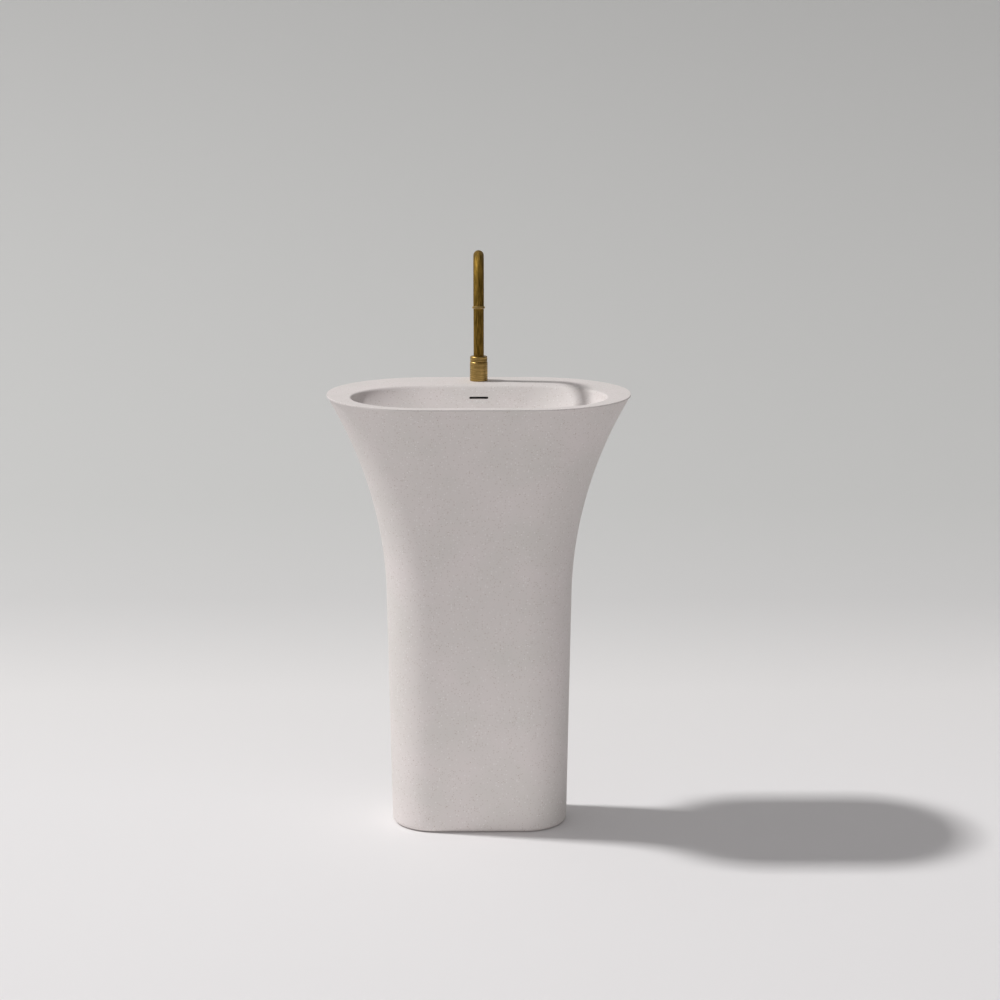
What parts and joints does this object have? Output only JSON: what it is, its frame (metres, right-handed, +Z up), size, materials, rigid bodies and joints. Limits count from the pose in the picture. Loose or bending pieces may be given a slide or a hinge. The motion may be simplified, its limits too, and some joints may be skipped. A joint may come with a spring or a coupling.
{
  "type": "pedestal sink",
  "caption": "Free-standing pedestal washbasin of cast stone with a flared column, an oval bowl, a swivelling gooseneck tap, click waste, overflow, bottle trap and floor brackets.",
  "frame": {"origin": "on the floor, below the middle of the rim", "axes": "+Z up; the front looks along -Y and the tap stands at +Y; +X is the right-hand side seen from the front"},
  "size_m": [0.6002, 0.4104, 1.1471],
  "materials": {
    "cast_stone": "matt, finely speckled cast mineral and resin",
    "brushed_brass": "brushed, aged",
    "raw_brass": "machined",
    "chrome_plate": "polished plate",
    "zinc_steel": "zinc plated",
    "black_rubber": "moulded, matt",
    "white_plastic": "moulded, satin",
    "cartridge_plastic": "moulded"
  },
  "bodies": {
    "pedestal": {"pedestal_shell": "cast_stone", "basin": "cast_stone", "overflow_box": "white_plastic", "overflow_pipe": "white_plastic", "overflow_nut_upper": "white_plastic", "overflow_nut_lower": "white_plastic", "waste_body": "chrome_plate", "waste_seal_upper": "black_rubber", "waste_seal_lower": "black_rubber", "waste_washer": "white_plastic", "waste_locknut": "raw_brass", "plug_guide": "white_plastic", "inlet_nut": "chrome_plate", "inlet_seal": "black_rubber", "inlet_tube": "chrome_plate", "trap_body": "chrome_plate", "trap_top_nut": "chrome_plate", "trap_top_seal": "black_rubber", "trap_cup": "chrome_plate", "trap_cup_seal": "black_rubber", "outlet_nut": "chrome_plate", "outlet_seal": "black_rubber", "outlet_pipe": "chrome_plate", "tap_body": "brushed_brass", "cartridge": "cartridge_plastic", "tap_base_seal": "black_rubber", "tap_shank": "raw_brass", "tap_rubber_washer": "black_rubber", "tap_steel_washer": "zinc_steel", "tap_backnut": "raw_brass", "hot_inlet_nipple": "raw_brass", "cold_inlet_nipple": "raw_brass", "floor_bracket_left": "zinc_steel", "floor_bracket_right": "zinc_steel", "bracket_screw_left": "zinc_steel", "bracket_screw_right": "zinc_steel", "bracket_insert_left": "raw_brass", "bracket_insert_right": "raw_brass"},
    "control": {"control_ring": "brushed_brass", "cartridge_drive": "cartridge_plastic"},
    "spout": {"spout_tube": "brushed_brass", "spout_tail": "raw_brass", "spout_o_ring_upper": "black_rubber", "spout_o_ring_lower": "black_rubber", "outlet_collar": "brushed_brass", "aerator": "white_plastic"},
    "plug": {"click_plug": "chrome_plate", "plug_seal": "black_rubber"}
  },
  "joints": [
    {"name": "spout_swivel", "type": "hinge", "parent": "pedestal", "child": "spout", "pos_m": [0, 0.158, 0.915], "axis": [0, 0, 1], "range_deg": [-60, 60]},
    {"name": "control_ring_turn", "type": "hinge", "parent": "pedestal", "child": "control", "pos_m": [0, 0.158, 0.915], "axis": [0, 0, 1], "range_deg": [0, 110]},
    {"name": "plug_press", "type": "slide", "parent": "pedestal", "child": "plug", "axis": [0, 0, -1], "range_m": [0, 0.0075]}
  ]
}
